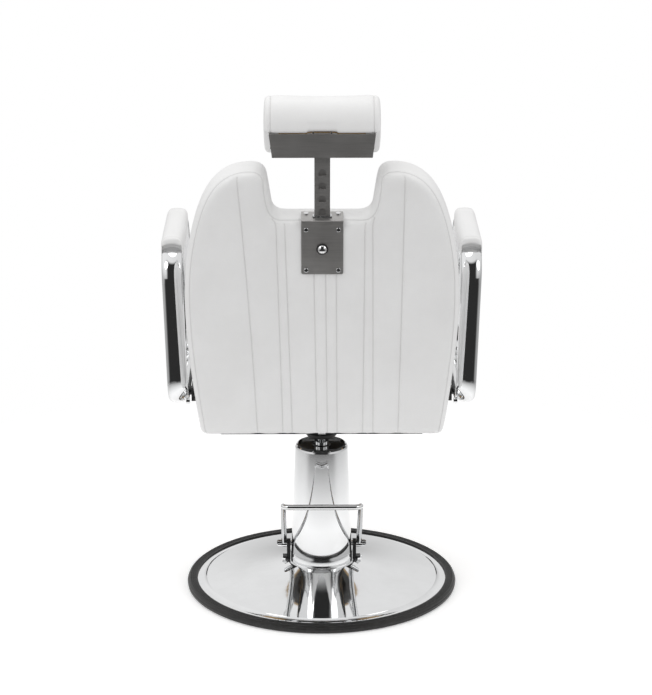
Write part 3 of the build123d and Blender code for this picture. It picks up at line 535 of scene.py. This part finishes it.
FINISHES = {
    "white_vinyl": vinyl(),
    "chrome": chrome(),
    "brushed_steel": brushed(),
    "black_steel": black_paint(),
    "zinc_hardware": zinc(),
    "cast_iron": iron(),
    "black_rubber": rubber(),
    "plywood": plywood(),
    "tread_aluminium": tread_metal(),
    "thread": thread(),
}


def dress_cad_nodes():
    """Each CAD node takes the procedural finish of its own slot."""
    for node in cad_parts.values():
        for place in node.material_slots:
            place.material = FINISHES[place.material.name.split(".")[0]]


# ---------------------------------------------------------------- the back
def rim_seam(outline, low, radius, way, side_turn, top_turn, skip_sole):
    """A seam on the rolled rim. It sits on the rear face at the sides and nearer the top face above."""
    out = outward(outline)
    turn = np.radians(side_turn + (top_turn - side_turn) * np.clip(out[:, 1], 0, 1))
    turn = np.convolve(np.concatenate((turn[-6:], turn, turn[:6])), np.ones(13) / 13, "valid")
    inset, depth = radius * (1 - np.cos(turn)), radius * (1 - np.sin(turn))
    line = np.column_stack((outline - out * inset[:, None], low + way * depth))
    if not skip_sole:
        return line, True
    keep = out[:, 1] > -0.35
    first = int(np.flatnonzero(~keep & np.roll(keep, -1))[0]) + 1
    order = np.roll(np.arange(len(line)), -first)
    return line[order][keep[order]], False


def channel(x_top, x_mid, x_low, s_top, s_low, depth):
    """A lengthwise seam that bows through three points across the back."""
    s = np.linspace(s_low, s_top, 60)
    t = (s - s_low) / (s_top - s_low)
    x = x_low * (1 - t) * (1 - 2 * t) + x_mid * 4 * t * (1 - t) + x_top * t * (2 * t - 1)
    return np.column_stack((x, s, np.full_like(s, depth))), False


def mirrored(lines):
    return lines + [(points * (-1, 1, 1), closed) for points, closed in lines]


def back_seams(outline):
    sole = BACK_SOLE + 0.004
    under_plate, under_notch, beside_notch, shoulder = PLATE_LOW - 0.002, NOTCH_FLOOR - 0.001, 0.524, 0.616
    rear = [
        channel(x_top, x_mid, x_low, s_top, sole, 0)
        for s_top, x_top, x_mid, x_low in (
            (shoulder, 0.174, 0.152, 0.137), (beside_notch, 0.095, 0.089, 0.083),
            (under_notch, 0.077, 0.070, 0.063), (under_plate, 0.017, 0.014, 0.011),
            (under_plate, -0.007, -0.009, -0.0115), (under_plate, -0.029, -0.0305, -0.032),
            (under_notch, -0.0875, -0.087, -0.086), (beside_notch, -0.103, -0.106, -0.108),
            (shoulder, -0.168, -0.165, -0.161),
        )
    ]
    front_low = 0.045
    front = [channel(0.030, 0.030, 0.030, NOTCH_FLOOR - 0.03, front_low, BACK_DEPTH)]
    front += [channel(0.090, 0.090, 0.090, NOTCH_FLOOR - 0.03, front_low, BACK_DEPTH)]
    front += [channel(0.158, 0.160, 0.150, 0.590, front_low, BACK_DEPTH)]
    front = mirrored(front)
    rear_rim = rim_seam(outline, 0, REAR_ROUND, 1, 55, 16, True)
    front_rim = rim_seam(outline, BACK_DEPTH, FRONT_ROUND, -1, 50, 50, False)
    return rear, front, rear_rim, front_rim


def back():
    outline = resample(section("back_rear_panel", BACK, 0.012), 0.004, closed=True)
    piece = slab("back_upholstery", outline, 0, BACK_DEPTH, BACK)
    remesh(piece, 0.0055)
    round_rims(piece, outline, 0, BACK_DEPTH, REAR_ROUND, FRONT_ROUND)
    relax(piece, 3)
    rear, front, rear_rim, front_rim = back_seams(outline)
    lines = rear + front + [rear_rim, front_rim]
    points = read_points(piece.data)
    laid = settle(lines, piece, 0.002)
    _, gap = nearest(tree_of(np.vstack([p for p, _ in laid])), points)
    hold = 1 - smooth_step(gap, 0.002, 0.009)
    x, s, d = np.abs(points[:, 0]), points[:, 1], points[:, 2]
    under_leg = (x < PLATE_HALF + 0.003) & (s > PLATE_LOW - 0.003) & (d < 0.02)
    under_roof = (x < PLATE_HALF + 0.003) & (s > NOTCH_FLOOR - 0.02) & (d < 0.064)
    hold = np.maximum(hold, under_leg | under_roof)
    cap = 0.0050 + 0.0060 * smooth_step(d, 0.03, 0.085)
    puff(piece, hold, cap)
    subdivide(piece)
    press_under_plate(piece)
    laid = sew(piece, lines)
    finish_piece(piece, "back", FINISHES["white_vinyl"])
    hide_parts("back_rear_panel", "back_board", "back_cushion")
    stitch("back_stitching", piece, laid, (0.0027,), "back")


def press_under_plate(piece):
    """The steel plate lies in the cover: nothing of it stands through the steel."""
    points = read_points(piece.data)
    x = np.abs(points[:, 0])
    beside = 1 - smooth_step(x, PLATE_HALF, PLATE_HALF + 0.016)
    above = smooth_step(points[:, 1], PLATE_LOW - 0.014, PLATE_LOW)
    leg = beside * above * (points[:, 2] < 0.03)
    level = 0.0002
    low = np.minimum(points[:, 2], level)
    points[:, 2] = np.where(points[:, 2] < level, low + (level - low) * leg, points[:, 2])
    roof = beside * (1 - smooth_step(points[:, 2], 0.060, 0.074)) * (points[:, 1] > NOTCH_FLOOR - 0.02)
    high = np.maximum(points[:, 1], NOTCH_FLOOR)
    points[:, 1] = np.where(points[:, 1] > NOTCH_FLOOR, high - (high - NOTCH_FLOOR) * roof, points[:, 1])
    write_points(piece.data, points)


# ---------------------------------------------------------------- the headrest roll
def cad_copy(name, node, matrix):
    """A new object with a CAD node's closed surface, in that matrix's own coordinates."""
    bm = bmesh.new()
    bm.from_mesh(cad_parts[node].data)
    bm.transform(matrix.inverted())
    bmesh.ops.remove_doubles(bm, verts=bm.verts, dist=1e-6)
    mesh = bpy.data.meshes.new(name)
    bm.to_mesh(mesh)
    bm.free()
    piece = bpy.data.objects.new(name, mesh)
    scene.collection.objects.link(piece)
    piece.matrix_world = matrix
    return piece


def fill_between(piece, half_width, outline):
    """Adds a block with that (s, d) outline to a piece, so that a remesh joins the two."""
    bm = bmesh.new()
    bm.from_mesh(piece.data)
    ends = [[bm.verts.new((x, s, d)) for s, d in outline] for x in (-half_width, half_width)]
    bm.faces.new(ends[0])
    bm.faces.new(ends[1][::-1])
    for k in range(len(outline)):
        after = (k + 1) % len(outline)
        bm.faces.new((ends[0][after], ends[0][k], ends[1][k], ends[1][after]))
    bm.to_mesh(piece.data)
    bm.free()


def tuck_in_tray(points):
    """Draws the roll's ends in where they lie between the side walls of the steel tray."""
    x, s, d = points.T
    inner_low, spread = 0.0990, 0.006 / 0.051          # half width between the walls at the tray's foot
    limit = inner_low + spread * np.clip(s - TRAY_FOOT, 0, None)
    tucked = np.sign(x) * np.minimum(np.abs(x), limit)
    share = (1 - smooth_step(s, 0.7045, 0.7105)) * (1 - smooth_step(d, 0.036, 0.050))
    points[:, 0] = x + (tucked - x) * share


def headrest():
    piece = cad_copy("headrest_roll", "headrest_cushion", BACK)
    fill_between(piece, 0.032, [(0.7085, 0.0038), (0.7085, 0.046), (0.731, 0.046), (0.731, 0.0085)])
    remesh(piece, 0.004)
    relax(piece, 2)
    points = read_points(piece.data)
    x, s, d = np.abs(points[:, 0]), points[:, 1], points[:, 2]
    pocket = (x < 0.109) & (s > 0.62) & (s < 0.735) & (d < 0.050)
    ring = np.linspace(0, 2 * math.pi, 120, endpoint=False)
    half_s, half_d = 0.061, 0.053
    around = np.column_stack((HEAD_MID[0] + half_s * np.sin(ring), HEAD_MID[1] + half_d * np.cos(ring)))
    ends = [(np.column_stack((np.full(120, side * HEAD_SEAM), around)), True) for side in (-1, 1)]
    back_face = 0.004
    for line, _ in ends:
        line[:, 2] = np.maximum(line[:, 2], back_face)
    hold = np.where(np.abs(x - HEAD_SEAM) < 0.0035, 1.0, 0.0)
    hold = np.maximum(hold, pocket)
    puff(piece, hold, 0.005)
    subdivide(piece)
    points = read_points(piece.data)
    tuck_in_tray(points)
    waist = 0.0030 * np.clip(1 - (points[:, 0] / HEAD_SEAM) ** 2, 0, 1)
    waist *= smooth_step(points[:, 1], HEAD_MID[0] + 0.01, HEAD_MID[0] + 0.05)
    points[:, 1] -= waist
    write_points(piece.data, points)
    laid = sew(piece, ends, valley=(0.0016, 0.006), groove=(0.0011, 0.0012))
    finish_piece(piece, "headrest", FINISHES["white_vinyl"])
    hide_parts("headrest_cushion")
    outer = [(points[points[:, 2] > 0.02], False) for points, _ in laid]
    stitch("headrest_stitching", piece, outer, (-0.0024, 0.0024), "headrest")


# ---------------------------------------------------------------- the seat
def seat():
    low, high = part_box("seat_cushion")
    piece = cad_copy("seat_upholstery", "seat_cushion", Matrix.Identity(4))
    remesh(piece, 0.0065)
    relax(piece, 3)
    points = read_points(piece.data)
    edge, corner, top = 0.016, 0.034, high.z - 0.004
    half, front, rear = high.x - edge, low.y + edge, 0.168
    rim = [(-half, rear)]
    for centre, start in (((-half + corner, front + corner), 180), ((half - corner, front + corner), 270)):
        for step in range(13):
            turn = math.radians(start + 7.5 * step)
            rim.append((centre[0] + corner * math.cos(turn), centre[1] + corner * math.sin(turn)))
    rim.append((half, rear))
    rim = np.array([(x, y, top) for x, y in rim])
    belt = rim * (1 + edge / half, 1, 1)
    belt[:, 1] = np.where(rim[:, 1] < 0, low.y + (rim[:, 1] - front) * 1.0, rim[:, 1])
    belt[:, 2] = low.z + 0.016
    lines = [(rim, False), (belt, False)]
    for x in (0.030, 0.090, 0.158):
        line = np.array([(x, y, high.z) for y in np.linspace(front, 0.150, 40)])
        lines += mirrored([(line, False)])
    laid = settle(lines, piece, 0.002)
    _, gap = nearest(tree_of(np.vstack([p for p, _ in laid])), points)
    hold = 1 - smooth_step(gap, 0.002, 0.010)
    _, y, z = points.T
    held = (z < low.z + 0.004) | (y > 0.165) | ((y > 0.08) & (z < 0.50))
    hold = np.maximum(hold, held)
    cap = 0.004 + 0.010 * smooth_step(z, high.z - 0.03, high.z - 0.005)
    puff(piece, hold, cap)
    subdivide(piece)
    laid = sew(piece, lines, valley=(0.0026, 0.013))
    finish_piece(piece, "seat", FINISHES["white_vinyl"])
    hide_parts("seat_cushion")
    stitch("seat_stitching", piece, laid, (0.0028,), "seat")


# ---------------------------------------------------------------- the arm pads
def arm_pad(side):
    """A padded cover over the top of the arm tube, arched where the tube leaves it."""
    node = f"arm_pad_{side}"
    low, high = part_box(node)
    middle = (low.x + high.x) / 2
    length = high.y - low.y
    axes = Matrix((Vector((1, 0, 0)), Vector((0, 0, 1)), Vector((0, -1, 0)))).transposed().to_4x4()
    place = Matrix.Translation((middle, high.y, low.z)) @ axes
    half, tall = (high.x - low.x) / 2 - 0.0006, high.z - low.z
    foot_r, top_r = 0.003, 0.016
    outline = []
    corners = [(-half + foot_r, foot_r, foot_r, 180), (half - foot_r, foot_r, foot_r, 270),
               (half - top_r, tall - top_r, top_r, 0), (-half + top_r, tall - top_r, top_r, 90)]
    for u, v, radius, start in corners:
        for step in range(9):
            turn = math.radians(start + 11.25 * step)
            outline.append((u + radius * math.cos(turn), v + radius * math.sin(turn)))
    outline = resample(outline, 0.002, closed=True)
    piece = slab(f"arm_pad_cover_{side}", outline, 0, length, place)
    remesh(piece, 0.0032)
    round_rims(piece, outline, 0, length, 0.009, 0.009)
    relax(piece, 2)
    points = read_points(piece.data)
    tube_top = ARM_TUBE_TOP - low.z
    u, v, w = points.T
    arch = tube_top + 0.0055 - 0.0045 * (u / 0.020) ** 2
    inside = (1 - smooth_step(v, arch - 0.002, arch + 0.001)) * (1 - smooth_step(np.abs(u), 0.0185, 0.0215))
    pocket = 0.014
    near = inside * (1 - smooth_step(w, 0.004, 0.012))
    far = inside * smooth_step(w, length - 0.012, length - 0.004)
    points[:, 2] += pocket * near - pocket * far
    write_points(piece.data, points)
    hem = 0.007
    sides = []
    for way in (-1, 1):
        line = [(way * half, hem, w) for w in np.linspace(0.004, length - 0.004, 80)]
        sides.append((np.array(line), False))
    cap_seams = []
    for w in (0.012, length - 0.012):
        ring = outline[outline[:, 1] > 0.012]
        first = int(np.argmax(ring[:, 0] + ring[:, 1] * -1))
        ring = np.roll(ring, -first, 0)
        cap_seams.append((np.column_stack((ring, np.full(len(ring), w))), False))
    lines = sides + cap_seams
    laid = settle(lines, piece, 0.002)
    _, gap = nearest(tree_of(np.vstack([p for p, _ in laid])), points)
    hold = 1 - smooth_step(gap, 0.001, 0.005)
    hold = np.maximum(hold, (v < 0.004) | (inside > 0.3) & ((w < 0.02) | (w > length - 0.02)))
    puff(piece, hold, 0.0030)
    subdivide(piece)
    laid = sew(piece, lines, valley=(0.0009, 0.005), groove=(0.0008, 0.0011))
    finish_piece(piece, "seat", FINISHES["white_vinyl"])
    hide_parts(node)
    stitch(f"arm_pad_stitching_{side}", piece, laid, (0.0022,), "seat")


# ---------------------------------------------------------------- studio
def studio_world():
    """Soft white studio: bright panels left, right and above, and a dark room on the +Y side."""
    world = bpy.data.worlds.new("studio")
    scene.world = world
    world.use_nodes = True
    nodes, links = world.node_tree.nodes, world.node_tree.links
    nodes.clear()

    def add(kind, inputs=None, **settings):
        node = nodes.new(kind)
        for key, value in settings.items():
            setattr(node, key, value)
        for key, value in (inputs or {}).items():
            if isinstance(value, bpy.types.NodeSocket):
                links.new(value, node.inputs[key])
            else:
                node.inputs[key].default_value = value
        return node

    def steps(value, low, high, to_low, to_high):
        inputs = {"Value": value, "From Min": low, "From Max": high, "To Min": to_low, "To Max": to_high}
        return add("ShaderNodeMapRange", inputs, interpolation_type="SMOOTHSTEP").outputs[0]

    def times(first, second):
        return add("ShaderNodeMath", {0: first, 1: second}, operation="MULTIPLY").outputs[0]

    def mix(share, first, second):
        node = add("ShaderNodeMix", {0: share, 2: first, 3: second}, data_type="FLOAT")
        return node.outputs[0]

    way = add("ShaderNodeSeparateXYZ", {0: add("ShaderNodeTexCoord").outputs["Generated"]}).outputs
    sky = steps(way[2], -0.5, 0.9, 0.74, 0.93)
    soft = times(sky, steps(way[1], 0.0, 1.0, 1.0, 0.84))
    aside = add("ShaderNodeMath", {0: way[0]}, operation="ABSOLUTE").outputs[0]
    below = steps(way[2], -0.08, 0.02, 1, 0)
    room = steps(aside, mix(below, 0.40, 0.72), mix(below, 0.66, 0.97), 1, 0)
    room = times(room, steps(way[1], mix(below, 0.05, -0.35), mix(below, 0.35, 0.0), 0, 1))
    room = times(room, steps(way[2], 0.78, 0.90, 1, 0))
    panels = times(steps(way[2], -0.25, 0.45, 0.48, 0.95), steps(way[0], -1, 1, 0.86, 1.0))
    mirror = mix(room, panels, 0.03)
    ray = add("ShaderNodeLightPath").outputs
    strength = mix(ray["Is Glossy Ray"], soft, mirror)
    strength = mix(ray["Is Camera Ray"], strength, 1.0)
    background = add("ShaderNodeBackground", {"Color": (1, 1, 1, 1), "Strength": strength})
    out = add("ShaderNodeOutputWorld")
    links.new(background.outputs[0], out.inputs[0])


def area_light(name, spot, target, size, power):
    data = bpy.data.lights.new(name, "AREA")
    data.shape, data.size, data.energy = "DISK", size, power
    light = bpy.data.objects.new(name, data)
    scene.collection.objects.link(light)
    light.location = spot
    light.rotation_euler = (Vector(target) - Vector(spot)).to_track_quat("-Z", "Y").to_euler()
    return light


def floor():
    """A pale paper sweep that fades into the white studio."""
    radius, fade = 1.45, 0.55
    rings, count = 12, 96
    points = [(0, 0, 0)]
    for ring in range(1, rings + 1):
        r = radius * ring / rings
        turns = [2 * math.pi * k / count for k in range(count)]
        points += [(r * math.cos(turn), r * math.sin(turn), 0) for turn in turns]
    faces = [[0, 1 + k, 1 + (k + 1) % count] for k in range(count)]
    for row in range(rings - 1):
        a, b = 1 + row * count, 1 + (row + 1) * count
        faces += [[a + k, b + k, b + (k + 1) % count, a + (k + 1) % count] for k in range(count)]
    sweep = new_piece("studio_floor", points, faces)
    sweep.location.z = -0.0004
    glow = {"Emission_Color": (1, 1, 1, 1), "Emission_Strength": 0.28}
    f = Finish("paper_sweep", Specular_IOR_Level=0.1, **glow)
    paper = f.noise(500.0, 3.0)
    f.drive("Base Color", f.blend(f.remap(paper, 0.3, 0.7, 0, 1), grey(0.93), grey(0.95)))
    f.drive("Roughness", f.remap(paper, 0.3, 0.7, 0.8, 0.9))
    f.drive("Normal", f.bump(paper, 0.0001, 0.2))
    length = f.add("ShaderNodeVectorMath", {0: f.place}, operation="LENGTH").outputs["Value"]
    f.drive("Alpha", f.remap(length, fade, radius - 0.02, 1, 0))
    sweep.data.materials.append(f.material)


def camera():
    """At the back of the chair, a little above it, with a long lens."""
    reach, height = 5.4, 2.2147
    azimuth, pan, pitch = math.radians(0.3), math.radians(0.108), math.radians(17.061)
    data = bpy.data.cameras.new("camera")
    data.lens, data.sensor_width = 131.86, 36.0
    data.clip_end = 50
    eye = bpy.data.objects.new("camera", data)
    scene.collection.objects.link(eye)
    eye.location = (reach * math.sin(azimuth), reach * math.cos(azimuth), height)
    ahead = azimuth + pan
    look = -Vector((math.sin(ahead) * math.cos(pitch), math.cos(ahead) * math.cos(pitch), math.sin(pitch)))
    eye.rotation_euler = look.to_track_quat("-Z", "Y").to_euler()
    scene.camera = eye


camera()
studio_world()
area_light("key", (2.2, 1.6, 2.9), (0, 0.1, 0.7), 1.5, 13)
area_light("fill", (-2.4, 1.2, 2.4), (0, 0.1, 0.7), 1.6, 9)
area_light("top", (0.2, -0.4, 3.4), (0, 0.1, 0.5), 1.8, 9)
floor()
scene.view_settings.view_transform = "Standard"

dress_cad_nodes()
back()
headrest()
seat()
for pad_side in ("left", "right"):
    arm_pad(pad_side)
